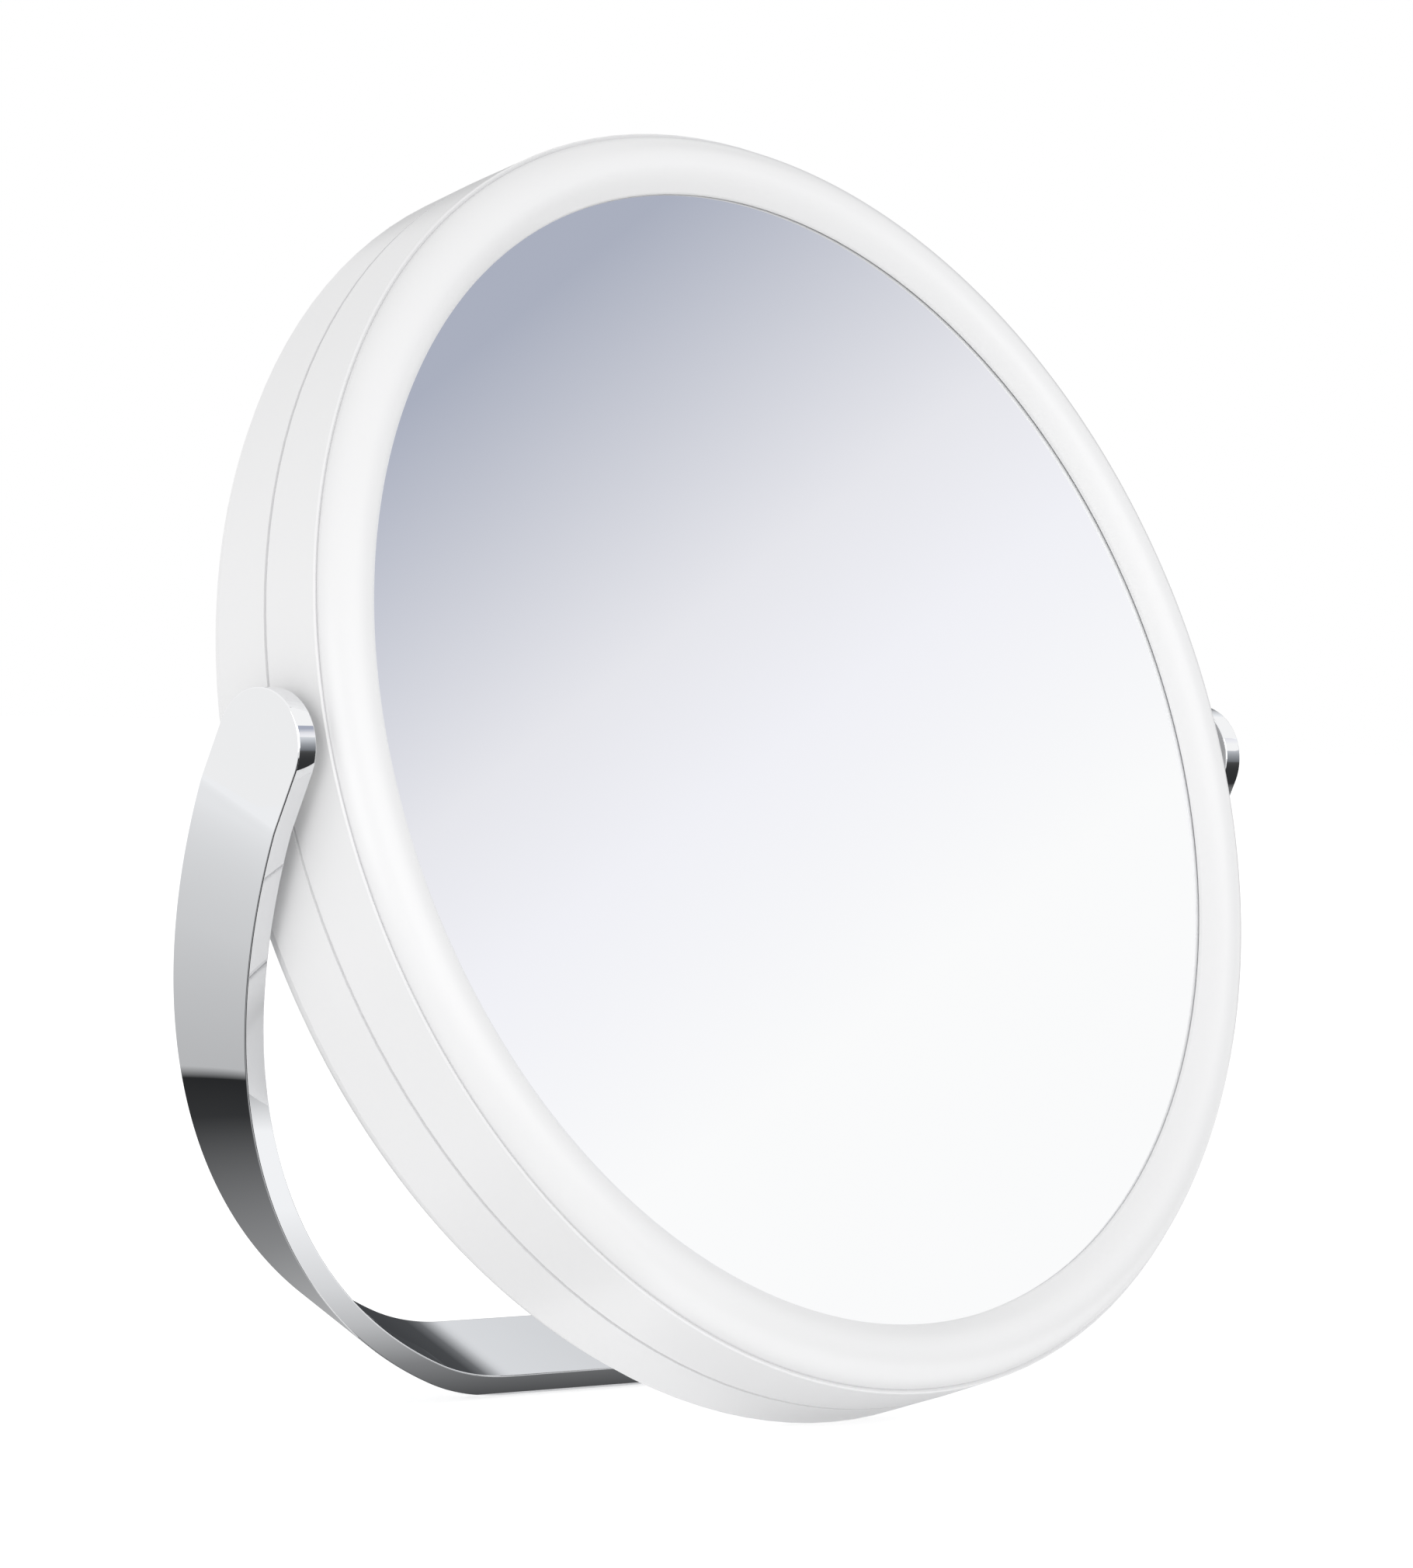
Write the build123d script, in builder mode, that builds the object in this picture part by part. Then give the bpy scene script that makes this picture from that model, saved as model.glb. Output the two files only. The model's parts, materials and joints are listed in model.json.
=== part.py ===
from build123d import *
from math import acos, atan2, cos, degrees, hypot, radians, sin, sqrt
import os

# A free-standing, double-sided table mirror. A white drum-shaped head carries a plain
# glass in front and a magnifying glass behind. It turns on two studs inside a chrome
# strap, which swings backwards to prop the head up like a picture frame.
# Millimetres, +X along the pivot axis, the plain glass faces -Y, +Z is up. The origin
# is on the table, under the middle of the whole object.

# ---- Head: driving dimensions ----
head_radius = 85.0          # outside of the drum, at the parting plane
wall_height = 8.7           # where a bezel sits on its shell, from the parting plane
wall_thickness = 2.0
rim_radius = 84.9           # outside of a shell at its rim, a little less for draft
rim_height = 8.72
rim_crest_radius = 84.72    # the rim's crest, which stands just above the bezel's foot
rim_crest_height = 8.92
bezel_foot_radius = 84.3    # foot of the bezel's bead, beside the rim
bead_top_radius = 80.0
bead_top = 12.55            # highest line of the bead, from the parting plane
bezel_lip_radius = 76.1     # edge of the visible glass
bezel_lip_height = 10.3     # where the bead's inner slope turns down to the glass
glass_radius = 78.0
glass_thickness = 2.0
glass_face = 9.75           # plain glass face, from the parting plane
foam_thickness = 1.0
foam_radius = 64.0
floor_thickness = 1.2
magnifier_curve = 750.0     # radius of the concave glass, about three times magnification
parting_groove_width = 0.25 # half of the shadow line round the parting, each shell has one
parting_groove_floor = 0.2
parting_groove_depth = 0.35
head_tilt = 17.3            # degrees that the head leans back from upright

# ---- Stand strap: driving dimensions ----
strap_half_span = 90.0      # outside of one tab, from the middle
strap_thickness = 3.0
strap_width = 14.8
strap_edge_round = 0.2
base_distance = 88.8        # outside of the flat base, from the pivot axis
base_half_length = 12.5     # flat part of the base
arm_arc_radius = 96.0
arm_centre_rise = 4.0       # centre of the arm's arc, above the pivot
tab_flat_drop = 5.2         # the tab is flat down to here, below the pivot
tab_end_rise = 2.7          # centre of the tab's round end, above the pivot

# ---- Pivot hardware: driving dimensions ----
stud_radius = 2.0
running_gap = 0.05
bush_radius = 3.6
bush_flange_radius = 4.8
bush_flange_start = 76.2    # distances along the pivot axis, from the middle
bush_flange_end = 78.2
bush_end = 85.25
spacer_radius = 5.0
friction_washer_radius = 4.4
friction_washer_thickness = 1.1
spring_radius = 4.2
spring_thickness = 0.4
spring_height = 1.15
nut_across_flats = 7.0
nut_height = 2.8
nut_collar_radius = 3.0
nut_collar_height = 1.0
stud_overhang = 0.6

# ---- Shell details ----
saddle_half_width = 6.5
pocket_half_width = 6.2
pocket_start = 66.5
tongue_inner = 81.4
tongue_outer = 82.9
tongue_depth = 1.5
tongue_root = 2.0
screw_circle = 58.0
screw_count = 6
screw_radius = 1.25
screw_head_radius = 2.5
screw_head_height = 1.4
screw_tip = 3.2
screw_seat = -1.5           # underside of the screw heads, behind the parting plane
front_boss_radius = 3.25
rear_boss_radius = 4.0
boss_gap_front = -0.4       # end of the front shell's bosses
boss_gap_rear = -0.5        # end of the rear shell's bosses

# ---- Worked out from the driving dimensions ----
wall_inner = head_radius - wall_thickness
floor_top = glass_face - glass_thickness - foam_thickness
floor_bottom = floor_top - floor_thickness
tab_inner = strap_half_span - strap_thickness
tilt = radians(head_tilt)

# Both the head's rear rim and the front edge of the strap's base stand on the table,
# which settles how far the strap leans back.
pivot_height = rim_radius * cos(tilt) + rim_height * sin(tilt)
edge_out = base_distance - strap_edge_round
edge_side = strap_width / 2 - strap_edge_round
lean = atan2(edge_side, edge_out)
lean += acos((pivot_height - strap_edge_round) / hypot(edge_out, edge_side))

bead_side = bezel_foot_radius - bead_top_radius
bead_rise = bead_top - wall_height
front_reach = bead_top_radius * sin(tilt) + wall_height * cos(tilt)
front_reach += hypot(bead_side * sin(tilt), bead_rise * cos(tilt))
back_reach = edge_out * sin(lean) + edge_side * cos(lean) + strap_edge_round
pivot = Vector(0, (front_reach - back_reach) / 2, pivot_height)

# Planes: the head's parting plane with the glass normal as its Z, the head's section
# plane for turned profiles (radius, height), and the strap's middle plane.
head_normal = Vector(0, -cos(tilt), sin(tilt))
head_up = Vector(0, sin(tilt), cos(tilt))
head_plane = Plane(origin=pivot, x_dir=(1, 0, 0), z_dir=head_normal)
head_section = Plane(origin=pivot, x_dir=(1, 0, 0), z_dir=head_up * -1)
head_axis = Axis(pivot, head_normal)
stand_front = Vector(0, -cos(lean), -sin(lean))
stand_plane = Plane(origin=pivot, x_dir=(1, 0, 0), z_dir=stand_front)
pivot_axis = Axis(pivot, (1, 0, 0))

os.makedirs("parts", exist_ok=True)


def save(piece, name):
    """Labels a finished piece and writes it as its own STEP file."""
    piece.part.label = name
    export_step(piece.part, f"parts/{name}.step")
    print(f"{name:24s} {piece.part.volume:10.1f} mm3, {len(piece.part.solids())} solid(s)")


def dish(radius):
    """Depth of the magnifying glass's curve at a radius, from its middle."""
    return magnifier_curve - sqrt(magnifier_curve**2 - radius**2)


def dish_height(radius, inset):
    """Height of a surface that follows the magnifying glass, inset from its face."""
    return -(glass_face - inset) + dish(glass_radius) - dish(radius)


def pivot_station(side, distance, facing=stand_front):
    """A plane square to the pivot axis, its Z pointing outwards on that side."""
    return Plane(origin=pivot + Vector(side * distance, 0, 0), x_dir=facing, z_dir=(side, 0, 0))


def screw_places():
    """The shell screws' circle, clear of the pivots."""
    return PolarLocations(screw_circle, screw_count, start_angle=180 / screw_count)


# ---- Front shell: side wall, glass floor, locating tongue, saddles and screw bosses ----
with BuildPart() as front_shell:
    with BuildSketch(head_section):
        with BuildLine():
            Polyline(
                (0, floor_top),
                (wall_inner, floor_top),
                (wall_inner, wall_height),
                (bezel_foot_radius, wall_height),
                (rim_crest_radius, rim_crest_height),
                (rim_radius, rim_height),
                (head_radius, parting_groove_width),
                (head_radius - parting_groove_depth, parting_groove_floor),
                (head_radius - parting_groove_depth, 0),
                (tongue_outer, 0),
                (tongue_outer, -tongue_depth),
                (tongue_inner, -tongue_depth),
                (tongue_inner, tongue_root),
                (wall_inner, tongue_root),
                (wall_inner, floor_bottom),
                (0, floor_bottom),
                close=True,
            )
        make_face()
    revolve(axis=head_axis)
    with BuildSketch(head_plane.offset(boss_gap_front)):
        with screw_places():
            Circle(front_boss_radius)
    extrude(amount=floor_bottom - boss_gap_front)
    with BuildSketch(head_plane.offset(boss_gap_front)):
        with screw_places():
            Circle(screw_radius)
    extrude(amount=screw_tip - boss_gap_front, mode=Mode.SUBTRACT)
    for side in (-1, 1):
        saddle_middle = side * (bush_flange_end + wall_inner) / 2
        saddle_length = wall_inner - bush_flange_end
        with BuildSketch(head_plane):
            with Locations((saddle_middle, 0)):
                Rectangle(saddle_length, 2 * saddle_half_width)
        extrude(amount=floor_bottom)
        # the tongue stops short of the rear shell's saddles
        with BuildSketch(head_plane):
            with Locations((side * (tongue_inner + tongue_outer) / 2, 0)):
                Rectangle(2 * (tongue_outer - tongue_inner), 2.3 * saddle_half_width)
        extrude(amount=-tongue_depth, mode=Mode.SUBTRACT)
        with BuildSketch(head_plane.offset(floor_bottom)):
            with Locations((side * (pocket_start + bush_flange_end) / 2, 0)):
                Rectangle(bush_flange_end - pocket_start, 2 * pocket_half_width)
        extrude(amount=floor_thickness, mode=Mode.SUBTRACT)
        with BuildSketch(pivot_station(side, bush_flange_end)):
            Circle(bush_radius)
        extrude(amount=head_radius - bush_flange_end + 1, mode=Mode.SUBTRACT)
save(front_shell, "front_shell")

# ---- Rear shell: side wall and a dished floor behind the magnifying glass ----
rear_floor_middle = glass_radius / 2
with BuildPart() as rear_shell:
    with BuildSketch(head_section):
        with BuildLine():
            ThreePointArc(
                (0, dish_height(0, glass_face - floor_top)),
                (rear_floor_middle, dish_height(rear_floor_middle, glass_face - floor_top)),
                (glass_radius, -floor_top),
            )
            Polyline(
                (glass_radius, -floor_top),
                (wall_inner, -floor_top),
                (wall_inner, -wall_height),
                (bezel_foot_radius, -wall_height),
                (rim_crest_radius, -rim_crest_height),
                (rim_radius, -rim_height),
                (head_radius, -parting_groove_width),
                (head_radius - parting_groove_depth, -parting_groove_floor),
                (head_radius - parting_groove_depth, 0),
                (wall_inner, 0),
                (wall_inner, -floor_bottom),
                (glass_radius, -floor_bottom),
            )
            ThreePointArc(
                (glass_radius, -floor_bottom),
                (rear_floor_middle, dish_height(rear_floor_middle, glass_face - floor_bottom)),
                (0, dish_height(0, glass_face - floor_bottom)),
            )
            Line(
                (0, dish_height(0, glass_face - floor_bottom)),
                (0, dish_height(0, glass_face - floor_top)),
            )
        make_face()
    revolve(axis=head_axis)
    with BuildSketch(head_plane.offset(boss_gap_rear)):
        with screw_places():
            Circle(rear_boss_radius)
    extrude(amount=-(floor_bottom + boss_gap_rear) + dish(glass_radius) - dish(screw_circle))
    with BuildSketch(head_plane.offset(screw_seat)):
        with screw_places():
            Circle(screw_head_radius + running_gap)
    extrude(amount=-floor_top, mode=Mode.SUBTRACT)
    with BuildSketch(head_plane.offset(boss_gap_rear)):
        with screw_places():
            Circle(screw_radius + running_gap)
    extrude(amount=-floor_top, mode=Mode.SUBTRACT)
    for side in (-1, 1):
        saddle_middle = side * (bush_flange_end + wall_inner) / 2
        with BuildSketch(head_plane):
            with Locations((saddle_middle, 0)):
                Rectangle(wall_inner - bush_flange_end, 2 * saddle_half_width)
        extrude(amount=-floor_bottom)
        with BuildSketch(head_plane):
            with Locations((side * (pocket_start + bush_flange_end) / 2, 0)):
                Rectangle(bush_flange_end - pocket_start, 2 * pocket_half_width)
        extrude(amount=-floor_top, mode=Mode.SUBTRACT)
        with BuildSketch(pivot_station(side, bush_flange_end)):
            Circle(bush_radius)
        extrude(amount=head_radius - bush_flange_end + 1, mode=Mode.SUBTRACT)
save(rear_shell, "rear_shell")

# ---- Bezels: a hollow bead with a skirt that snaps into the shell ----
skirt_outer = wall_inner - running_gap
skirt_inner = 81.6
skirt_end = 6.9
lip_underside = glass_face + running_gap
cavity_edge = 78.4
ellipse_share = 0.5523      # makes a cubic curve follow a quarter of an ellipse
slope_start_pull = 1.7      # how far each end's direction shapes the slope to the glass
slope_end_pull = 0.9
slope_end_rise = 0.85
lip_draft = 0.1
cavity_outer_depth = 1.9    # the hollow under the bead, down from the bead's top
cavity_top_depth = 1.4
cavity_skirt_depth = 1.8


def bezel(side):
    """The bezel ring of one face, side 1 in front and -1 behind."""
    with BuildPart() as ring:
        with BuildSketch(head_section):
            with BuildLine():
                # the outer quarter of the bead, very nearly an ellipse
                Bezier(
                    (bezel_foot_radius, side * wall_height),
                    (bezel_foot_radius, side * (wall_height + ellipse_share * bead_rise)),
                    (bead_top_radius + ellipse_share * bead_side, side * bead_top),
                    (bead_top_radius, side * bead_top),
                )
                # the slope down to the glass
                Bezier(
                    (bead_top_radius, side * bead_top),
                    (bead_top_radius - slope_start_pull, side * bead_top),
                    (bezel_lip_radius + slope_end_pull, side * (bezel_lip_height + slope_end_rise)),
                    (bezel_lip_radius + lip_draft, side * bezel_lip_height),
                )
                Polyline(
                    (bezel_lip_radius + lip_draft, side * bezel_lip_height),
                    (bezel_lip_radius, side * lip_underside),
                    (cavity_edge, side * lip_underside),
                    (cavity_edge, side * (bead_top - cavity_outer_depth)),
                    (bead_top_radius, side * (bead_top - cavity_top_depth)),
                    (skirt_inner, side * (bead_top - cavity_skirt_depth)),
                    (skirt_inner, side * skirt_end),
                    (skirt_outer, side * skirt_end),
                    (skirt_outer, side * wall_height),
                    (bezel_foot_radius, side * wall_height),
                )
            make_face()
        revolve(axis=head_axis)
    return ring


front_bezel = bezel(1)
save(front_bezel, "front_bezel")
rear_bezel = bezel(-1)
save(rear_bezel, "rear_bezel")

# ---- Glasses and the foam discs that they are stuck down with ----
with BuildPart() as plain_mirror:
    with BuildSketch(head_plane.offset(glass_face - glass_thickness)):
        Circle(glass_radius)
    extrude(amount=glass_thickness)
save(plain_mirror, "plain_mirror")

with BuildPart() as front_foam_disc:
    with BuildSketch(head_plane.offset(floor_top)):
        Circle(foam_radius)
    extrude(amount=foam_thickness)
save(front_foam_disc, "front_foam_disc")


def dished_disc(radius, outer_inset, inner_inset):
    """A disc that follows the magnifying glass's curve between two insets."""
    half = radius / 2
    with BuildPart() as disc:
        with BuildSketch(head_section):
            with BuildLine():
                ThreePointArc(
                    (0, dish_height(0, outer_inset)),
                    (half, dish_height(half, outer_inset)),
                    (radius, dish_height(radius, outer_inset)),
                )
                Line((radius, dish_height(radius, outer_inset)), (radius, dish_height(radius, inner_inset)))
                ThreePointArc(
                    (radius, dish_height(radius, inner_inset)),
                    (half, dish_height(half, inner_inset)),
                    (0, dish_height(0, inner_inset)),
                )
                Line((0, dish_height(0, inner_inset)), (0, dish_height(0, outer_inset)))
            make_face()
        revolve(axis=head_axis)
    return disc


magnifying_mirror = dished_disc(glass_radius, 0, glass_thickness)
save(magnifying_mirror, "magnifying_mirror")
rear_foam_disc = dished_disc(foam_radius, glass_thickness, glass_thickness + foam_thickness)
save(rear_foam_disc, "rear_foam_disc")

# ---- Shell screws: six pan heads sunk into the rear floor, one node ----
recess_length = 3.0
recess_width = 0.7
recess_depth = 0.7
with BuildPart() as shell_screws:
    with BuildSketch(head_plane.offset(screw_seat)):
        with screw_places():
            Circle(screw_radius)
    extrude(amount=screw_tip - screw_seat)
    with BuildSketch(head_plane.offset(screw_seat)):
        with screw_places():
            Circle(screw_head_radius)
    extrude(amount=-screw_head_height)
    with BuildSketch(head_plane.offset(screw_seat - screw_head_height)):
        with screw_places():
            Rectangle(recess_length, recess_width)
            Rectangle(recess_width, recess_length)
    extrude(amount=recess_depth, mode=Mode.SUBTRACT)
save(shell_screws, "shell_screws")

# ---- Stand strap: one flat strip bent round the head, with round-ended tabs ----
arm_centre_x = -strap_half_span + sqrt(arm_arc_radius**2 - (tab_flat_drop + arm_centre_rise) ** 2)
base_drop = base_distance + arm_centre_rise
centre_gap = arm_centre_x + base_half_length
corner_radius = (arm_arc_radius**2 - centre_gap**2 - base_drop**2) / (2 * (arm_arc_radius - base_drop))
corner_centre = Vector(-base_half_length, corner_radius - base_distance)
arm_centre = Vector(arm_centre_x, arm_centre_rise)
to_corner = (corner_centre - arm_centre).normalized()
tab_top = tab_end_rise + strap_width / 2 + 1
print(f"strap corner radius {corner_radius:.1f} mm, strap lean {degrees(lean):.2f} degrees")


def strap_half(inset):
    """Points and arc middles of one half of the strap's outline, moved in by inset."""
    radius = arm_arc_radius - inset
    start_angle = atan2(-tab_flat_drop - arm_centre_rise, -strap_half_span - arm_centre_x)
    tab_foot = arm_centre + Vector(cos(start_angle), sin(start_angle)) * radius
    arm_end = arm_centre + to_corner * radius
    middle_way = ((tab_foot - arm_centre).normalized() + to_corner).normalized()
    arm_middle = arm_centre + middle_way * radius
    small = corner_radius - inset
    base_end = corner_centre + Vector(0, -1) * small
    corner_way = (to_corner + Vector(0, -1)).normalized()
    corner_middle = corner_centre + corner_way * small
    return tab_foot, arm_middle, arm_end, corner_middle, base_end


def flip(point):
    """The same point on the strap's other half."""
    return (-point.X, point.Y)


def strap_side(inset):
    """One whole side of the strap's outline, from the left tab to the right tab."""
    foot, arm_middle, arm_end, corner_middle, base_end = strap_half(inset)
    tab_x = -strap_half_span + inset
    foot = Vector(tab_x, foot.Y)
    Line((tab_x, tab_top), foot)
    ThreePointArc(foot, arm_middle, arm_end)
    ThreePointArc(arm_end, corner_middle, base_end)
    Line(base_end, flip(base_end))
    ThreePointArc(flip(base_end), flip(corner_middle), flip(arm_end))
    ThreePointArc(flip(arm_end), flip(arm_middle), flip(foot))
    Line(flip(foot), (-tab_x, tab_top))


with BuildPart() as stand_strap:
    with BuildSketch(stand_plane):
        with BuildLine():
            strap_side(0)
            strap_side(strap_thickness)
            Line((-strap_half_span, tab_top), (-tab_inner, tab_top))
            Line((strap_half_span, tab_top), (tab_inner, tab_top))
        make_face()
    extrude(amount=strap_width / 2, both=True)
    with BuildSketch(pivot_station(-1, 0)):
        with Locations((0, tab_end_rise)):
            Rectangle(strap_width + 2, strap_width, align=(Align.CENTER, Align.MIN))
            Circle(strap_width / 2, mode=Mode.SUBTRACT)
    extrude(amount=strap_half_span + 1, both=True, mode=Mode.SUBTRACT)
    fillet(stand_strap.edges().filter_by(lambda edge: edge.length > strap_thickness + 1), strap_edge_round)
save(stand_strap, "stand_strap")

# ---- Pivot hardware, the same on both sides ----
for side, side_name in ((-1, "left"), (1, "right")):
    with BuildPart() as bush:
        with BuildSketch(pivot_station(side, bush_flange_start, head_normal)):
            Circle(bush_flange_radius)
        extrude(amount=bush_flange_end - bush_flange_start)
        with BuildSketch(pivot_station(side, bush_flange_end, head_normal)):
            Circle(bush_radius)
        extrude(amount=bush_end - bush_flange_end)
        with BuildSketch(pivot_station(side, bush_flange_start, head_normal)):
            Circle(stud_radius + running_gap)
        extrude(amount=bush_end - bush_flange_start, mode=Mode.SUBTRACT)
    save(bush, f"{side_name}_pivot_bush")

    washer_start = bush_flange_start - running_gap - friction_washer_thickness
    spring_start = washer_start - spring_height
    nut_start = spring_start - nut_height
    stud_start = nut_start - nut_collar_height - stud_overhang
    with BuildPart() as stud:
        with BuildSketch(pivot_station(side, stud_start)):
            Circle(stud_radius)
        extrude(amount=tab_inner - stud_start)
        chamfer(stud.edges().group_by(Axis.X)[0 if side > 0 else -1], 0.4)
    save(stud, f"{side_name}_pivot_stud")

    with BuildPart() as spacer:
        with BuildSketch(pivot_station(side, bush_end + running_gap)):
            Circle(spacer_radius)
            Circle(stud_radius, mode=Mode.SUBTRACT)
        extrude(amount=tab_inner - bush_end - running_gap)
    save(spacer, f"{side_name}_spacer_washer")

    with BuildPart() as friction_washer:
        with BuildSketch(pivot_station(side, washer_start)):
            Circle(friction_washer_radius)
            Circle(stud_radius, mode=Mode.SUBTRACT)
        extrude(amount=friction_washer_thickness)
    save(friction_washer, f"{side_name}_friction_washer")

    # a coned disc spring, its wide edge against the friction washer
    spring_section = Plane(
        origin=pivot + Vector(side * spring_start, 0, 0),
        x_dir=stand_front,
        z_dir=stand_front.cross(Vector(side, 0, 0)),
    )
    with BuildPart() as disc_spring:
        with BuildSketch(spring_section):
            with BuildLine():
                Polyline(
                    (stud_radius + running_gap, 0),
                    (stud_radius + running_gap, spring_thickness),
                    (spring_radius, spring_height),
                    (spring_radius, spring_height - spring_thickness),
                    close=True,
                )
            make_face()
        revolve(axis=pivot_axis)
    save(disc_spring, f"{side_name}_disc_spring")

    with BuildPart() as lock_nut:
        with BuildSketch(pivot_station(side, nut_start)):
            RegularPolygon(nut_across_flats / 2, 6, major_radius=False)
            Circle(stud_radius, mode=Mode.SUBTRACT)
        extrude(amount=nut_height)
        with BuildSketch(pivot_station(side, nut_start)):
            Circle(nut_collar_radius)
            Circle(stud_radius, mode=Mode.SUBTRACT)
        extrude(amount=-nut_collar_height)
    save(lock_nut, f"{side_name}_lock_nut")
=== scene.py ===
import json
import math

import bmesh
import bpy
from mathutils import Matrix, Vector

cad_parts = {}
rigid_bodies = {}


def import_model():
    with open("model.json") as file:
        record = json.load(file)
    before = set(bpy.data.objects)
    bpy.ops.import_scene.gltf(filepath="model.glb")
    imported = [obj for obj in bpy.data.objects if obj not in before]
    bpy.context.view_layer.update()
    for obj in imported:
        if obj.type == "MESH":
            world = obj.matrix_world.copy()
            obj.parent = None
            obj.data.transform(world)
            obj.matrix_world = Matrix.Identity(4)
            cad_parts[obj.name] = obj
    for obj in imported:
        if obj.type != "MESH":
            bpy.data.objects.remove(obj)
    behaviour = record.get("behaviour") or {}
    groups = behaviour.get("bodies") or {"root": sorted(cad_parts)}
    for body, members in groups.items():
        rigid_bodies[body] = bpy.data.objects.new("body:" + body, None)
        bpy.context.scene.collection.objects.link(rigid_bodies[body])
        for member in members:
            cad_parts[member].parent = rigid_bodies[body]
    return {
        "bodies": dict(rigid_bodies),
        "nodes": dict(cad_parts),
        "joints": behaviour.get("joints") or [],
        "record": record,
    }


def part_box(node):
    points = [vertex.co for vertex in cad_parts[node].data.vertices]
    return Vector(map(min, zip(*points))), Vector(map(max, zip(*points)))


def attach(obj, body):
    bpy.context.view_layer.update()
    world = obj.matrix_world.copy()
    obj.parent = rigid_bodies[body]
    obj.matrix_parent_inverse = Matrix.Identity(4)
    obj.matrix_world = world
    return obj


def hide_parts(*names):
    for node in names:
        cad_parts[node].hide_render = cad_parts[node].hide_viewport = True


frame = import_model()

# A white two-sided table mirror in a chrome strap stand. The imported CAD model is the
# frame. The bezels, glasses and strap are rebuilt here as fine meshes, and every node
# gets a node-based material. Sizes are in metres, places come from the frame.

MM = 0.001

# ---- Sizes of the rebuilt pieces, the same as the CAD model's ----
WALL_HEIGHT = 8.7 * MM
FOOT_RADIUS = 84.3 * MM
BEAD_TOP_RADIUS = 80.0 * MM
BEAD_TOP = 12.55 * MM
LIP_RADIUS = 76.1 * MM
LIP_HEIGHT = 10.3 * MM
SKIRT_INNER = 81.6 * MM
SKIRT_OUTER = 82.95 * MM
SKIRT_END = 6.9 * MM
CAVITY_EDGE = 78.4 * MM
GLASS_RADIUS = 78.0 * MM
GLASS_THICKNESS = 2.0 * MM
GLASS_FACE = 9.75 * MM
GLASS_GAP = 0.05 * MM
GLASS_EDGE = 0.25 * MM       # ground edge
MAGNIFIER_CURVE = 750.0 * MM
STRAP_HALF_SPAN = 90.0 * MM
STRAP_THICKNESS = 3.0 * MM
STRAP_WIDTH = 14.8 * MM
STRAP_EDGE_ROUND = 0.2 * MM
BASE_DISTANCE = 88.8 * MM
BASE_HALF_LENGTH = 12.5 * MM
ARM_ARC_RADIUS = 96.0 * MM
ARM_CENTRE_RISE = 4.0 * MM
TAB_FLAT_DROP = 5.2 * MM
TAB_END_RISE = 2.7 * MM

# ---- Fineness of the rebuilt meshes ----
BEZEL_SEGMENTS = 320
GLASS_SEGMENTS = 192
BEAD_STEPS = 28
SLOPE_STEPS = 20
LIP_STEPS = 4
DISH_STEPS = 24
TAB_STEP = 0.5 * MM
ARM_STEPS = 150
CORNER_STEPS = 24
BASE_STEPS = 12
STRAP_END_STEPS = 24
STRAP_BODY_STEPS = 360
STRAP_EDGE_STEPS = 5
GLASS_SMOOTH_ANGLE = 25
SAME_PLACE = 1e-7            # vertices and radii nearer than this are one

# ---- Tones ----
NOISE_LOW = 0.15             # the part of a noise texture's range that is used
NOISE_HIGH = 0.85
CHROME_REFLECTANCE = 0.88
GLASS_REFLECTANCE = 0.95

# ---- Directions, from the frame ----
PIVOT = Vector(frame["joints"][0]["pos_m"])
RIGHT = Vector((1, 0, 0))
BACK = Vector((0, 1, 0))
UPRIGHT = Vector((0, 0, 1))
CARD_ACROSS = (1.0, 0.0, 0.0)    # a card's own directions, which its shades can follow
CARD_UP = (0.0, 1.0, 0.0)


def node_centre(name):
    """The middle of a CAD node's box."""
    low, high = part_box(name)
    return (low + high) / 2


HEAD_NORMAL = (node_centre("plain_mirror") - PIVOT).normalized()
HEAD_UP = HEAD_NORMAL.cross(RIGHT).normalized()
BASE_NORMAL = Vector(frame["record"]["mounts"][0]["axis"]).normalized()
STRAP_UP = -BASE_NORMAL
STRAP_FRONT = RIGHT.cross(STRAP_UP).normalized()

# ---- Start from an empty stage: only the frame stays ----
keep = set(frame["nodes"].values()) | set(frame["bodies"].values())
for thing in [o for o in bpy.data.objects if o not in keep]:
    bpy.data.objects.remove(thing)
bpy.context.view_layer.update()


# ======================= Mesh helpers =======================

def link_object(name, bm):
    """Makes an object from a bmesh and links it to the scene."""
    mesh = bpy.data.meshes.new(name)
    bm.to_mesh(mesh)
    bm.free()
    obj = bpy.data.objects.new(name, mesh)
    bpy.context.scene.collection.objects.link(obj)
    return obj


def link_smooth(name, bm, smooth_angle=None):
    """Makes a smooth-shaded object from a bmesh, with clean outward normals."""
    bmesh.ops.remove_doubles(bm, verts=bm.verts, dist=SAME_PLACE)
    bmesh.ops.recalc_face_normals(bm, faces=bm.faces)
    obj = link_object(name, bm)
    mesh = obj.data
    mesh.polygons.foreach_set("use_smooth", [True] * len(mesh.polygons))
    if smooth_angle is not None:
        mesh.set_sharp_from_angle(angle=math.radians(smooth_angle))
    weighted = obj.modifiers.new("normals", "WEIGHTED_NORMAL")
    weighted.keep_sharp = True
    return obj


def arc(centre, radius, start, end, steps):
    """Points on an arc, angles in degrees, in a profile's (radius, height) plane."""
    points = []
    for k in range(steps + 1):
        angle = math.radians(start + (end - start) * k / steps)
        points.append((centre[0] + radius * math.cos(angle), centre[1] + radius * math.sin(angle)))
    return points


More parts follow.
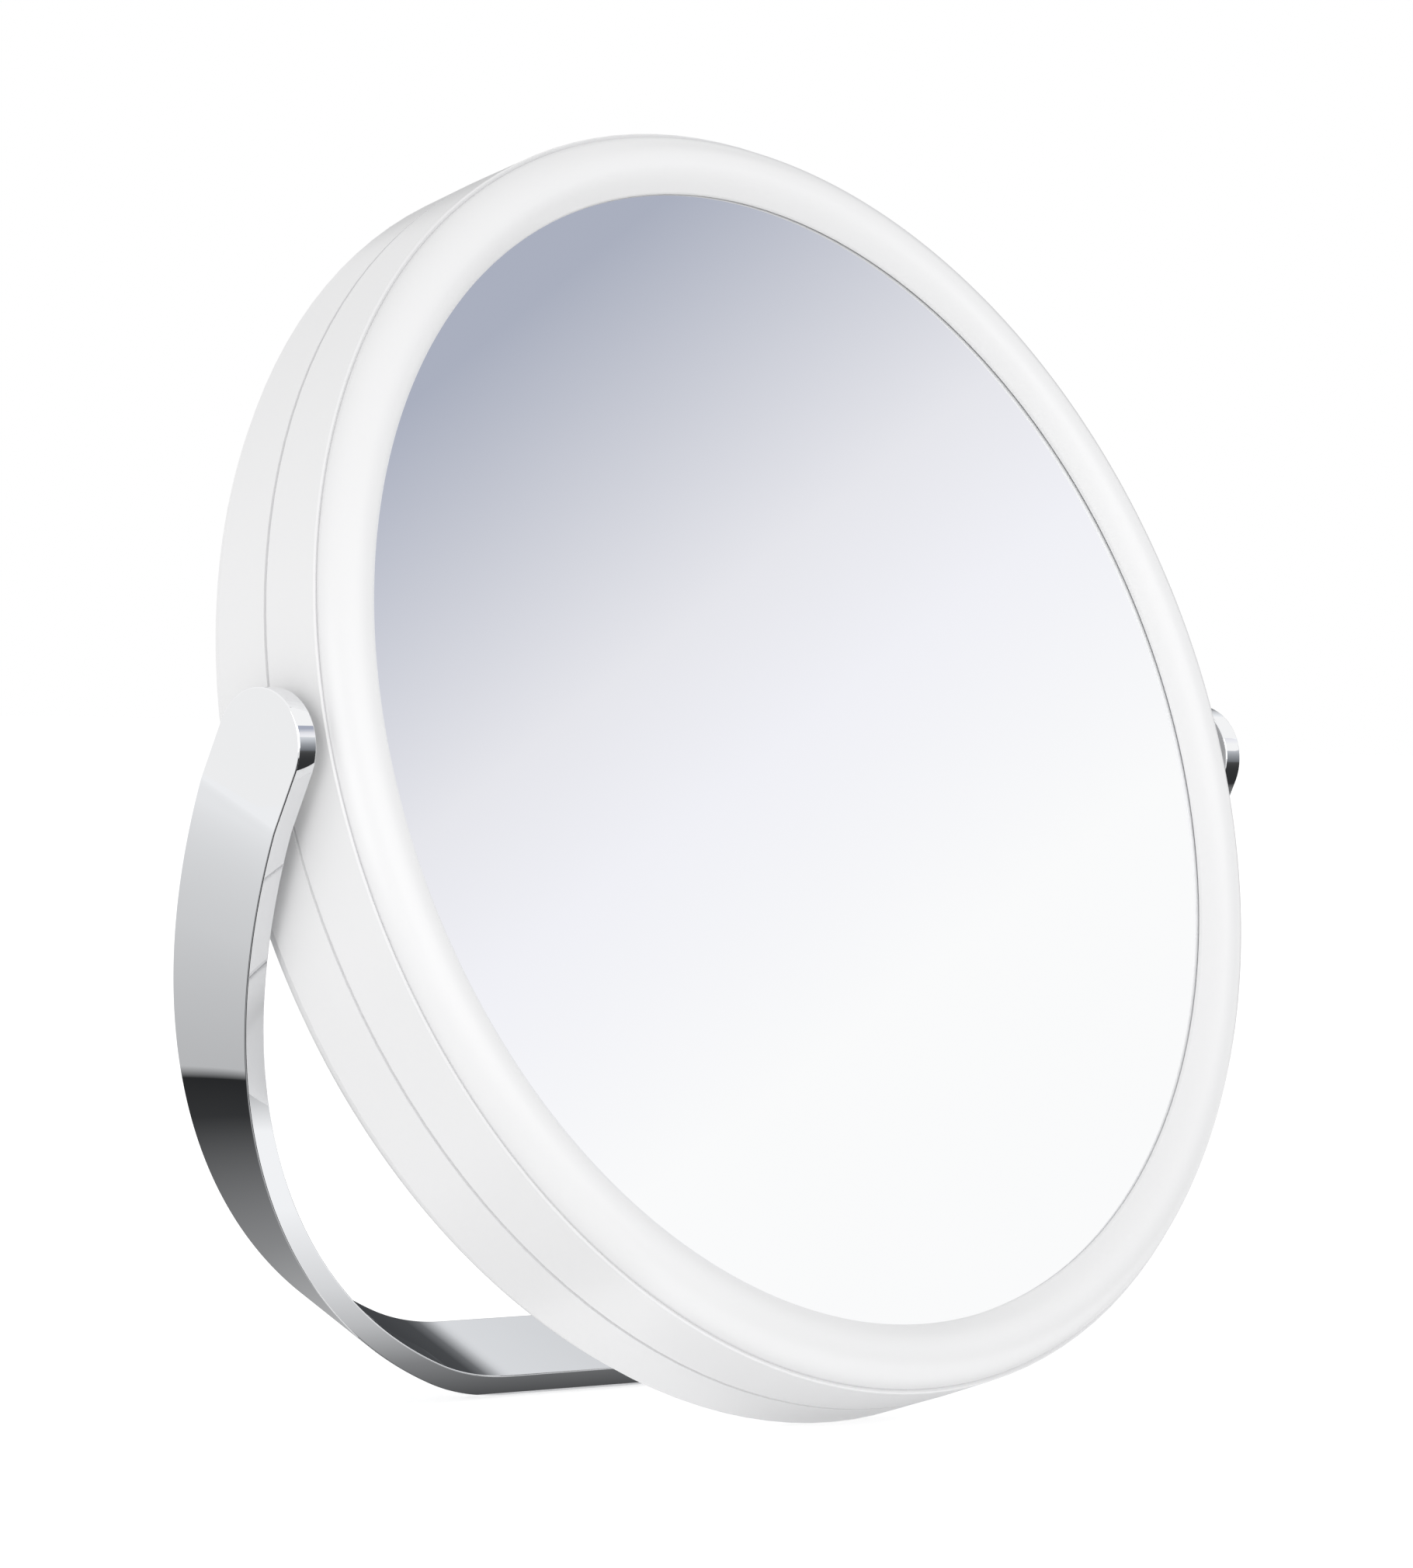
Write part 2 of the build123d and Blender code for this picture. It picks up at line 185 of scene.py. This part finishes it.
def bezier(p0, p1, p2, p3, steps):
    """Points on a cubic curve in a profile's (radius, height) plane."""
    points = []
    for k in range(steps + 1):
        t = k / steps
        weights = ((1 - t) ** 3, 3 * t * (1 - t) ** 2, 3 * t**2 * (1 - t), t**3)
        corners = (p0, p1, p2, p3)
        points.append(tuple(sum(w * c[axis] for w, c in zip(weights, corners)) for axis in (0, 1)))
    return points


def turned(name, profile, side, segments, smooth_angle):
    """A closed profile of (radius, height) turned about the head's axis, side 1 front, -1 rear."""
    bm = bmesh.new()
    rings = []
    for radius, height in profile:
        centre = PIVOT + HEAD_NORMAL * (side * height)
        if radius < SAME_PLACE:
            rings.append([bm.verts.new(centre)])
            continue
        ring = []
        for k in range(segments):
            angle = math.tau * k / segments
            outward = RIGHT * math.cos(angle) + HEAD_UP * math.sin(angle)
            ring.append(bm.verts.new(centre + radius * outward))
        rings.append(ring)
    for k, ring in enumerate(rings):
        following = rings[(k + 1) % len(rings)]
        if len(ring) == 1 and len(following) == 1:
            continue
        for j in range(segments):
            a, b = ring[j % len(ring)], ring[(j + 1) % len(ring)]
            c, d = following[(j + 1) % len(following)], following[j % len(following)]
            corners = []
            for vert in (a, b, c, d):
                if vert not in corners:
                    corners.append(vert)
            bm.faces.new(corners)
    return link_smooth(name, bm, smooth_angle)


def dish(radius):
    """Depth of the magnifying glass's curve at a radius."""
    return MAGNIFIER_CURVE - math.sqrt(MAGNIFIER_CURVE**2 - radius**2)


# ======================= Pieces =======================

def make_bezel(side, node):
    """One bezel: a round bead, a soft slope to the lip, and the skirt inside the shell."""
    ellipse_share = 0.5523       # how far a cubic curve's handles reach for a quarter ellipse
    smooth_angle = 35
    lip_round = 0.2 * MM
    lip_draft = 0.1 * MM
    slope_start_pull = 1.7 * MM
    slope_end_pull = 0.9 * MM
    slope_end_rise = 0.85 * MM
    cavity_outer_depth = 1.9 * MM
    cavity_top_depth = 1.4 * MM
    cavity_skirt_depth = 1.8 * MM
    side_reach = ellipse_share * (FOOT_RADIUS - BEAD_TOP_RADIUS)
    rise_reach = ellipse_share * (BEAD_TOP - WALL_HEIGHT)
    outer = bezier(
        (FOOT_RADIUS, WALL_HEIGHT),
        (FOOT_RADIUS, WALL_HEIGHT + rise_reach),
        (BEAD_TOP_RADIUS + side_reach, BEAD_TOP),
        (BEAD_TOP_RADIUS, BEAD_TOP),
        BEAD_STEPS,
    )
    slope = bezier(
        (BEAD_TOP_RADIUS, BEAD_TOP),
        (BEAD_TOP_RADIUS - slope_start_pull, BEAD_TOP),
        (LIP_RADIUS + slope_end_pull, LIP_HEIGHT + slope_end_rise),
        (LIP_RADIUS + lip_draft, LIP_HEIGHT),
        SLOPE_STEPS,
    )
    lip_under = GLASS_FACE + GLASS_GAP
    lip = arc((LIP_RADIUS + lip_round, lip_under + lip_round), lip_round, 180, 270, LIP_STEPS)
    inside = [
        (CAVITY_EDGE, lip_under),
        (CAVITY_EDGE, BEAD_TOP - cavity_outer_depth),
        (BEAD_TOP_RADIUS, BEAD_TOP - cavity_top_depth),
        (SKIRT_INNER, BEAD_TOP - cavity_skirt_depth),
        (SKIRT_INNER, SKIRT_END),
        (SKIRT_OUTER, SKIRT_END),
        (SKIRT_OUTER, WALL_HEIGHT),
    ]
    profile = outer + slope[1:] + lip + inside
    piece = turned(f"{node}_ring", profile, side, BEZEL_SEGMENTS, smooth_angle)
    return finish_piece(piece, "head", node)


def finish_piece(piece, body, node):
    """Rides with its body and replaces the CAD node that it stands for, which it hides."""
    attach(piece, body)
    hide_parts(node)
    return piece


def make_plain_glass():
    """The flat glass, with ground edges."""
    rim = GLASS_RADIUS - GLASS_EDGE
    back = GLASS_FACE - GLASS_THICKNESS
    profile = [(0, GLASS_FACE), (rim, GLASS_FACE), (GLASS_RADIUS, GLASS_FACE - GLASS_EDGE)]
    profile += [(GLASS_RADIUS, back + GLASS_EDGE), (rim, back), (0, back)]
    piece = turned("plain_mirror_glass", profile, 1, GLASS_SEGMENTS, GLASS_SMOOTH_ANGLE)
    return finish_piece(piece, "head", "plain_mirror")


def make_magnifying_glass():
    """The concave glass, a shallow dish with ground edges."""
    face = []
    for k in range(DISH_STEPS + 1):
        radius = (GLASS_RADIUS - GLASS_EDGE) * k / DISH_STEPS
        face.append((radius, GLASS_FACE - dish(GLASS_RADIUS) + dish(radius)))
    profile = face + [(GLASS_RADIUS, GLASS_FACE - GLASS_EDGE)]
    profile += [(GLASS_RADIUS, GLASS_FACE - GLASS_THICKNESS + GLASS_EDGE)]
    profile += [(radius, height - GLASS_THICKNESS) for radius, height in reversed(face)]
    piece = turned("magnifying_mirror_glass", profile, -1, GLASS_SEGMENTS, GLASS_SMOOTH_ANGLE)
    return finish_piece(piece, "head", "magnifying_mirror")


def strap_path():
    """The strap's outside line in its own plane (x, up), from the left tab to the right."""
    top = TAB_END_RISE + STRAP_WIDTH / 2
    centre_x = -STRAP_HALF_SPAN + math.sqrt(ARM_ARC_RADIUS**2 - (TAB_FLAT_DROP + ARM_CENTRE_RISE) ** 2)
    drop = BASE_DISTANCE + ARM_CENTRE_RISE
    gap = centre_x + BASE_HALF_LENGTH
    corner = (ARM_ARC_RADIUS**2 - gap**2 - drop**2) / (2 * (ARM_ARC_RADIUS - drop))
    corner_y = corner - BASE_DISTANCE
    start = math.degrees(math.atan2(-TAB_FLAT_DROP - ARM_CENTRE_RISE, -STRAP_HALF_SPAN - centre_x))
    turn = math.degrees(math.atan2(corner_y - ARM_CENTRE_RISE, -BASE_HALF_LENGTH - centre_x))
    tab_steps = int((top + TAB_FLAT_DROP) / TAB_STEP)
    half = [(-STRAP_HALF_SPAN, top - k * TAB_STEP) for k in range(tab_steps + 1)]
    half += arc((centre_x, ARM_CENTRE_RISE), ARM_ARC_RADIUS, start % 360, turn % 360, ARM_STEPS)
    half += arc((-BASE_HALF_LENGTH, corner_y), corner, turn % 360, 270, CORNER_STEPS)[1:]
    half += [(-BASE_HALF_LENGTH * (1 - k / BASE_STEPS), -BASE_DISTANCE) for k in range(1, BASE_STEPS)]
    return half + [(0, -BASE_DISTANCE)] + [(-x, y) for x, y in reversed(half)]


class StrapLine:
    """Arc length, position and inward direction along the strap's outside line."""

    def __init__(self):
        self.points = [Vector((x, y)) for x, y in strap_path()]
        self.length = [0.0]
        for a, b in zip(self.points, self.points[1:]):
            self.length.append(self.length[-1] + (b - a).length)
        self.total = self.length[-1]

    def at(self, s):
        """The point at arc length s, in a straight line beyond both ends."""
        if s <= 0:
            return self.points[0] + (self.points[0] - self.points[1]).normalized() * -s
        if s >= self.total:
            ahead = (self.points[-1] - self.points[-2]).normalized()
            return self.points[-1] + ahead * (s - self.total)
        low, high = 0, len(self.length) - 1
        while high - low > 1:
            middle = (low + high) // 2
            if self.length[middle] <= s:
                low = middle
            else:
                high = middle
        share = (s - self.length[low]) / (self.length[high] - self.length[low])
        return self.points[low].lerp(self.points[high], share)

    def inward(self, s, reach=0.9 * MM):
        """The inward normal, smoothed over the small bend below each tab."""
        along = (self.at(s + reach) - self.at(s - reach)).normalized()
        return Vector((-along.y, along.x))


def make_strap():
    """The chrome strap: a strip with round ends and rounded edges, bent along its line."""
    line = StrapLine()
    half_width = STRAP_WIDTH / 2
    first, last = half_width, line.total - half_width
    levels = []
    for k in range(STRAP_EDGE_STEPS + 1):
        angle = math.radians(90 * k / STRAP_EDGE_STEPS)
        inset = STRAP_EDGE_ROUND * (1 - math.sin(angle))
        levels.append((inset, STRAP_EDGE_ROUND * (1 - math.cos(angle))))
    levels += [(inset, STRAP_THICKNESS - depth) for inset, depth in reversed(levels)]
    bm = bmesh.new()

    def place(s, across, depth):
        """A vertex at arc length s, across the strap's width and depth below its outside."""
        point = line.at(s) + line.inward(s) * depth
        return bm.verts.new(PIVOT + RIGHT * point.x + STRAP_UP * point.y + STRAP_FRONT * across)

    loops = []
    for inset, depth in levels:
        radius = half_width - inset
        stations = []
        for k in range(1, STRAP_END_STEPS + 1):
            angle = math.radians(90 * k / STRAP_END_STEPS)
            stations.append((first - radius * math.cos(angle), radius * math.sin(angle)))
        for k in range(1, STRAP_BODY_STEPS):
            stations.append((first + (last - first) * k / STRAP_BODY_STEPS, radius))
        for k in range(STRAP_END_STEPS, 0, -1):
            angle = math.radians(90 * k / STRAP_END_STEPS)
            stations.append((last + radius * math.cos(angle), radius * math.sin(angle)))
        front = [place(s, across, depth) for s, across in stations]
        back = [place(s, -across, depth) for s, across in stations]
        tip_start = place(first - radius, 0, depth)
        tip_end = place(last + radius, 0, depth)
        loops.append((tip_start, front, tip_end, back))
    rings = [[start, *front, end, *back[::-1]] for start, front, end, back in loops]
    for ring_a, ring_b in zip(rings, rings[1:]):
        for k in range(len(ring_a)):
            j = (k + 1) % len(ring_a)
            bm.faces.new((ring_a[k], ring_a[j], ring_b[j], ring_b[k]))
    for tip_start, front, tip_end, back in (loops[0], loops[-1]):
        bm.faces.new((tip_start, front[0], back[0]))
        bm.faces.new((tip_end, front[-1], back[-1]))
        for k in range(len(front) - 1):
            bm.faces.new((front[k], front[k + 1], back[k + 1], back[k]))
    piece = link_smooth("stand_strap_chrome", bm)
    return finish_piece(piece, "stand", "stand_strap")


# ======================= Materials =======================

def new_material(name):
    """A node material, its node tree and its Principled shader."""
    material = bpy.data.materials.new(name)
    material.use_nodes = True
    shader = material.node_tree.nodes["Principled BSDF"]
    return material, material.node_tree, shader


def noise(tree, scale, detail):
    """A noise texture in object space, scale in features per metre."""
    place = tree.nodes.new("ShaderNodeTexCoord")
    texture = tree.nodes.new("ShaderNodeTexNoise")
    texture.inputs["Scale"].default_value = scale
    texture.inputs["Detail"].default_value = detail
    tree.links.new(place.outputs["Object"], texture.inputs["Vector"])
    return texture


def spread(tree, source, low, high):
    """Maps a texture's middle range to low..high."""
    ramp = tree.nodes.new("ShaderNodeMapRange")
    ramp.inputs["From Min"].default_value = NOISE_LOW
    ramp.inputs["From Max"].default_value = NOISE_HIGH
    ramp.inputs["To Min"].default_value = low
    ramp.inputs["To Max"].default_value = high
    tree.links.new(source.outputs[0], ramp.inputs["Value"])
    return ramp


def tint(tree, source, dark, light):
    """A colour between two near shades, driven by a texture."""
    blend = tree.nodes.new("ShaderNodeMix")
    blend.data_type = "RGBA"
    tree.links.new(source.outputs[0], blend.inputs["Factor"])
    colours = [socket for socket in blend.inputs if socket.type == "RGBA"]
    colours[0].default_value = (*dark, 1)
    colours[1].default_value = (*light, 1)
    return [socket for socket in blend.outputs if socket.type == "RGBA"][0]


def bump(tree, shader, source, strength, distance):
    """Adds a fine bump to the shader's normal."""
    node = tree.nodes.new("ShaderNodeBump")
    node.inputs["Strength"].default_value = strength
    node.inputs["Distance"].default_value = distance
    tree.links.new(source.outputs[0], node.inputs["Height"])
    tree.links.new(node.outputs["Normal"], shader.inputs["Normal"])


def white_abs():
    """Glossy white moulded ABS: very faint cloudiness and orange peel."""
    material, tree, shader = new_material("white_abs_gloss")
    cloud = noise(tree, 35, 3)
    peel = noise(tree, 900, 2)
    colour = tint(tree, cloud, (0.79, 0.79, 0.795), (0.81, 0.81, 0.815))
    tree.links.new(colour, shader.inputs["Base Color"])
    rough = spread(tree, cloud, 0.29, 0.37)
    tree.links.new(rough.outputs["Result"], shader.inputs["Roughness"])
    bump(tree, shader, peel, 0.03, 0.00005)
    shader.inputs["IOR"].default_value = 1.5
    return material


def polished_chrome():
    """Bright chrome plate: mirror-smooth, with faint wiping haze."""
    material, tree, shader = new_material("polished_chrome")
    haze = noise(tree, 60, 4)
    colour = tint(tree, haze, (0.87, 0.875, 0.885), (0.90, 0.905, 0.915))
    tree.links.new(colour, shader.inputs["Base Color"])
    rough = spread(tree, haze, 0.005, 0.03)
    tree.links.new(rough.outputs["Result"], shader.inputs["Roughness"])
    shader.inputs["Metallic"].default_value = 1.0
    return material


def silvered_glass():
    """Silvered float glass, with a barely visible film where it has been wiped."""
    material, tree, shader = new_material("silvered_glass")
    film = noise(tree, 25, 5)
    colour = tint(tree, film, (0.945, 0.95, 0.955), (0.955, 0.96, 0.965))
    tree.links.new(colour, shader.inputs["Base Color"])
    rough = spread(tree, film, 0.0, 0.012)
    tree.links.new(rough.outputs["Result"], shader.inputs["Roughness"])
    shader.inputs["Metallic"].default_value = 1.0
    return material


def zinc_steel():
    """Satin zinc plate for the hidden studs, nuts, springs and screws."""
    material, tree, shader = new_material("zinc_steel_satin")
    grain = noise(tree, 1200, 4)
    colour = tint(tree, grain, (0.5, 0.51, 0.53), (0.62, 0.63, 0.65))
    tree.links.new(colour, shader.inputs["Base Color"])
    rough = spread(tree, grain, 0.29, 0.42)
    tree.links.new(rough.outputs["Result"], shader.inputs["Roughness"])
    bump(tree, shader, grain, 0.1, 0.0001)
    shader.inputs["Metallic"].default_value = 1.0
    return material


def natural_acetal():
    """Waxy off-white acetal for the bushes and washers."""
    material, tree, shader = new_material("natural_acetal")
    cloud = noise(tree, 500, 3)
    colour = tint(tree, cloud, (0.74, 0.74, 0.71), (0.8, 0.8, 0.77))
    tree.links.new(colour, shader.inputs["Base Color"])
    rough = spread(tree, cloud, 0.4, 0.55)
    tree.links.new(rough.outputs["Result"], shader.inputs["Roughness"])
    bump(tree, shader, cloud, 0.1, 0.0001)
    return material


def closed_cell_foam():
    """Dark closed-cell foam with a fine pitted skin."""
    material, tree, shader = new_material("closed_cell_foam")
    cells = noise(tree, 2500, 2)
    colour = tint(tree, cells, (0.02, 0.02, 0.022), (0.05, 0.05, 0.055))
    tree.links.new(colour, shader.inputs["Base Color"])
    rough = spread(tree, cells, 0.85, 1.0)
    tree.links.new(rough.outputs["Result"], shader.inputs["Roughness"])
    bump(tree, shader, cells, 0.5, 0.0003)
    return material


# ======================= Camera, light and stage =======================

CAMERA_FROM_PIVOT = Vector((-706.1, -656.9, 15.5)) * MM
CAMERA_HEADING = 46.707      # degrees from +Y towards +X
CAMERA_PITCH = -1.024        # degrees, below the horizon
CAMERA_ROLL = -1.517         # degrees
CAMERA_LENS = 169.31         # focal length in millimetres
CAMERA_SENSOR = 36           # width in millimetres


def make_camera():
    """A camera that looks at the front glass from the left; returns its three directions."""
    heading, pitch, roll = (math.radians(a) for a in (CAMERA_HEADING, CAMERA_PITCH, CAMERA_ROLL))
    flat = math.cos(pitch)
    forward = Vector((math.sin(heading) * flat, math.cos(heading) * flat, math.sin(pitch)))
    level = forward.cross(UPRIGHT).normalized()
    upright = level.cross(forward)
    up = upright * math.cos(roll) + level * math.sin(roll)
    side = forward.cross(up)
    camera = bpy.data.objects.new("camera", bpy.data.cameras.new("camera"))
    bpy.context.scene.collection.objects.link(camera)
    turn = Matrix((side, up, -forward)).transposed().to_4x4()
    camera.matrix_world = Matrix.Translation(PIVOT + CAMERA_FROM_PIVOT) @ turn
    camera.data.lens = CAMERA_LENS
    camera.data.sensor_width = CAMERA_SENSOR
    camera.data.clip_start = 0.01
    camera.data.clip_end = 100
    bpy.context.scene.camera = camera
    return side, up, forward


def emission_material(name, stops, axis_vector, offset, length):
    """A card's glow: its shades run along a direction of the card, from offset over length."""
    material = bpy.data.materials.new(name)
    material.use_nodes = True
    tree = material.node_tree
    tree.nodes.clear()
    place = tree.nodes.new("ShaderNodeTexCoord")
    dot = tree.nodes.new("ShaderNodeVectorMath")
    dot.operation = "DOT_PRODUCT"
    dot.inputs[1].default_value = axis_vector
    tree.links.new(place.outputs["Object"], dot.inputs[0])
    scale = tree.nodes.new("ShaderNodeMapRange")
    scale.inputs["From Min"].default_value = offset
    scale.inputs["From Max"].default_value = offset + length
    tree.links.new(dot.outputs["Value"], scale.inputs["Value"])
    ramp = tree.nodes.new("ShaderNodeValToRGB")
    elements = ramp.color_ramp.elements
    while len(elements) < len(stops):
        elements.new(0.5)
    for element, (position, colour) in zip(elements, stops):
        element.position = position
        element.color = (*colour, 1)
    tree.links.new(scale.outputs["Result"], ramp.inputs["Fac"])
    glow = tree.nodes.new("ShaderNodeEmission")
    tree.links.new(ramp.outputs["Color"], glow.inputs["Color"])
    out = tree.nodes.new("ShaderNodeOutputMaterial")
    tree.links.new(glow.outputs["Emission"], out.inputs["Surface"])
    material.cycles.emission_sampling = "NONE"
    return material


def make_card(name, centre, across, upward, width, height, material):
    """A flat card that only reflections see."""
    bm = bmesh.new()
    corners = [(-1, -1), (1, -1), (1, 1), (-1, 1)]
    bm.faces.new([bm.verts.new((x * width / 2, y * height / 2, 0)) for x, y in corners])
    card = link_object(name, bm)
    facing = across.cross(upward).normalized()
    turn = Matrix((across.normalized(), upward.normalized(), facing)).transposed().to_4x4()
    card.matrix_world = Matrix.Translation(centre) @ turn
    card.data.materials.append(material)
    card.visible_camera = False
    card.visible_diffuse = False
    card.visible_shadow = False
    card.visible_transmission = False
    card.visible_volume_scatter = False


def linear(level):
    """A linear value from a display level of 0 to 255."""
    share = level / 255
    return share / 12.92 if share <= 0.04045 else ((share + 0.055) / 1.055) ** 2.4


def grey(level, cool=0):
    """A card's colour, so that chrome shows the display level, with cool more levels of blue."""
    green_share = 0.4
    return tuple(linear(level + lift) / CHROME_REFLECTANCE for lift in (0, cool * green_share, cool))


def flat_material(name, level):
    """A card's glow in one plain grey."""
    return emission_material(name, [(0.0, grey(level)), (1.0, grey(level))], CARD_ACROSS, 0.0, 1.0)


def make_mirror_card(side, up, forward):
    """The soft studio backdrop that the plain glass reflects: blue-grey fading to white."""
    bounce = Matrix.Identity(3) - 2 * Matrix([[a * b for b in HEAD_NORMAL] for a in HEAD_NORMAL])
    away = bounce @ forward
    across, upward = bounce @ side, bounce @ up
    distance = 1.2
    width, height = 0.31, 0.36
    fade_direction = (0.625, -0.78, 0.0)
    fade_start, fade_length = -0.148, 0.2237
    shades = [(0.0, (170, 175, 190)), (0.45, (230, 230, 235)), (0.65, (240, 240, 245))]
    shades += [(1.0, (250, 250, 250))]
    stops = [(at, tuple(linear(level) / GLASS_REFLECTANCE for level in shade)) for at, shade in shades]
    material = emission_material("mirror_backdrop", stops, fade_direction, fade_start, fade_length)
    make_card("mirror_backdrop", PIVOT + away * distance, across, upward, width, height, material)


def distance_stops(shades, cool):
    """Ramp stops from (distance in mm, display level) pairs, the ramp's start and its length."""
    first, last = shades[0][0], shades[-1][0]
    stops = [((at - first) / (last - first), grey(level, cool)) for at, level in shades]
    return stops, first * MM, (last - first) * MM


def make_upright_card(name, shades, cool, foot, across, width, height):
    """A card that stands on the floor, its shades given by height in mm."""
    stops, offset, length = distance_stops(shades, cool)
    material = emission_material(name, stops, CARD_UP, offset - height / 2, length)
    middle = Vector((*foot, height / 2))
    make_card(name, middle, Vector((*across, 0)).normalized(), UPRIGHT, width, height, material)


def make_chrome_cards():
    """Dark and grey cards by the floor and behind, which give the chrome strap its contrast."""
    floor_gap = 0.6 * MM

    # Behind and to the left: black near the strap, then a sharp step to a fading grey.
    step = Vector((-97, 99, 0)) * MM + UPRIGHT * floor_gap
    outward = Vector((-0.643, 0.766, 0)).normalized()
    shades = [(-90, 180), (-60, 130), (-20, 50), (-0.2, 35)]
    shades += [(0.2, 180), (100, 200), (400, 225), (1200, 235)]
    stops, offset, length = distance_stops(shades, 2)
    near, far = -0.09, 3.9
    middle = (near + far) / 2
    depth, width = far - near, 3.0
    sideways = UPRIGHT.cross(outward)
    material = emission_material("rear_floor_card", stops, CARD_ACROSS, offset - middle, length)
    make_card("rear_floor_card", step + outward * middle, outward, sideways, depth, width, material)

    # Upright behind and to the left, at the level of the horizon: pale, for the flat tab.
    across = Vector((0.684, 0.73, 0)).normalized()
    width, height = 4.0, 1.5
    material = flat_material("rear_left_card", 235)
    make_card("rear_left_card", Vector((-2.55, 2.39, height / 2)), across, UPRIGHT, width, height, material)

    # Far behind and to the right: a dark band low down, for the inside of the base.
    shades = [(0, 60), (300, 70), (400, 105), (550, 200), (700, 235)]
    foot, across = (0.66, 0.46), (0.55, -0.80)
    make_upright_card("rear_right_card", shades, 4, foot, across, width=0.7, height=0.7)

    # On the floor in front, with bands for the strap's front edge and the base.
    shades = [(-1600, 95), (-200, 50), (-76, 45), (-73, 180), (-60, 240), (-41, 240)]
    shades += [(-40.5, 180), (-22, 180), (-21.5, 240), (-5, 240), (12, 200), (20, 130), (27, 70)]
    stops, offset, length = distance_stops(shades, 2)
    near, far = 0.027, -1.6
    middle = Vector((0.78, (near + far) / 2, floor_gap / 2))
    width = 1.64
    material = emission_material("front_floor_card", stops, CARD_UP, offset - middle.y, length)
    make_card("front_floor_card", middle, RIGHT, BACK, width, near - far, material)

    # Far in front and to the right: dark low down, white higher up, for the ends of the tabs.
    shades = [(0, 100), (250, 150), (500, 200), (900, 240)]
    foot, across = (1.21, -1.05), (-0.656, -0.755)
    make_upright_card("front_right_card", shades, 8, foot, across, width=1.7, height=0.9)

    # On the floor at the left: black, for the thin line along the strap's rounded corner.
    middle = Vector((-0.25, -0.12, floor_gap / 2))
    width, depth = 0.40, 0.36
    make_card("left_floor_card", middle, RIGHT, BACK, width, depth, flat_material("left_floor_card", 25))

    # High up at the right: a small grey panel, for the top of the near tab's edge.
    middle = Vector((0.80, 0.06, 0.88))
    lean_up = Vector((-0.67, 0, 0.74)).normalized()
    width, height = 0.32, 0.26
    material = flat_material("high_right_card", 110)
    make_card("high_right_card", middle, BACK, lean_up, width, height, material)


def by_ray(tree, ray, strength, other):
    """One strength for the named kind of ray, and another for all other rays."""
    rays = tree.nodes.new("ShaderNodeLightPath")
    choice = tree.nodes.new("ShaderNodeMapRange")
    choice.inputs["To Min"].default_value = other
    choice.inputs["To Max"].default_value = strength
    tree.links.new(rays.outputs[ray], choice.inputs["Value"])
    return choice.outputs["Result"]


def make_floor():
    """A plain pale floor, which glows a little so that it stays white."""
    half_size = 6
    glow_in_view, glow_on_part = 0.55, 0.32
    bm = bmesh.new()
    bmesh.ops.create_grid(bm, x_segments=1, y_segments=1, size=half_size)
    floor = link_object("floor", bm)
    material, tree, shader = new_material("pale_floor")
    shader.inputs["Base Color"].default_value = (0.8, 0.8, 0.8, 1)
    shader.inputs["Roughness"].default_value = 0.9
    shader.inputs["Specular IOR Level"].default_value = 0.0
    shader.inputs["Emission Color"].default_value = (1, 1, 1, 1)
    glow = by_ray(tree, "Is Camera Ray", glow_in_view, glow_on_part)
    tree.links.new(glow, shader.inputs["Emission Strength"])
    material.cycles.emission_sampling = "NONE"
    floor.data.materials.append(material)


def make_softbox(name, offset, width, height, energy):
    """A soft light aimed at the pivot: offset and size in metres, energy in watts."""
    lamp = bpy.data.lights.new(name, "AREA")
    lamp.shape = "RECTANGLE"
    lamp.size = width
    lamp.size_y = height
    lamp.energy = energy
    softbox = bpy.data.objects.new(name, lamp)
    bpy.context.scene.collection.objects.link(softbox)
    softbox.location = PIVOT + Vector(offset)
    softbox.rotation_euler = (PIVOT - softbox.location).to_track_quat("-Z", "Y").to_euler()


def make_light():
    """A white studio: even light all round, and two soft lights, in front and at the left."""
    sky_on_matt, sky_elsewhere = 0.75, 1.0
    world = bpy.data.worlds.new("studio")
    bpy.context.scene.world = world
    world.use_nodes = True
    tree = world.node_tree
    background = tree.nodes["Background"]
    background.inputs["Color"].default_value = (1, 1, 1, 1)
    strength = by_ray(tree, "Is Diffuse Ray", sky_on_matt, sky_elsewhere)
    tree.links.new(strength, background.inputs["Strength"])
    make_softbox("front_softbox", (0.1, -1.4, 0.5), 1.4, 1.0, 5.2)
    make_softbox("left_softbox", (-1.45, -0.3, 0.3), 1.0, 1.0, 5.5)
    bpy.context.scene.view_settings.view_transform = "Standard"
    bpy.context.scene.view_settings.look = "None"


# ======================= The scene =======================

side, up, forward = make_camera()
make_light()
make_floor()
make_mirror_card(side, up, forward)
make_chrome_cards()

MATERIALS = {
    "white_abs": white_abs(),
    "chrome": polished_chrome(),
    "mirror_glass": silvered_glass(),
    "zinc_steel": zinc_steel(),
    "acetal": natural_acetal(),
    "foam": closed_cell_foam(),
}

pieces = {
    make_bezel(1, "front_bezel"): "white_abs",
    make_bezel(-1, "rear_bezel"): "white_abs",
    make_plain_glass(): "mirror_glass",
    make_magnifying_glass(): "mirror_glass",
    make_strap(): "chrome",
}
for piece, slot in pieces.items():
    piece.data.materials.append(MATERIALS[slot])

slots = {entry["node"]: entry["material_slot"] for entry in frame["record"]["subparts"]}
for name, node in frame["nodes"].items():
    for index in range(len(node.material_slots)):
        node.material_slots[index].material = MATERIALS[slots[name]]
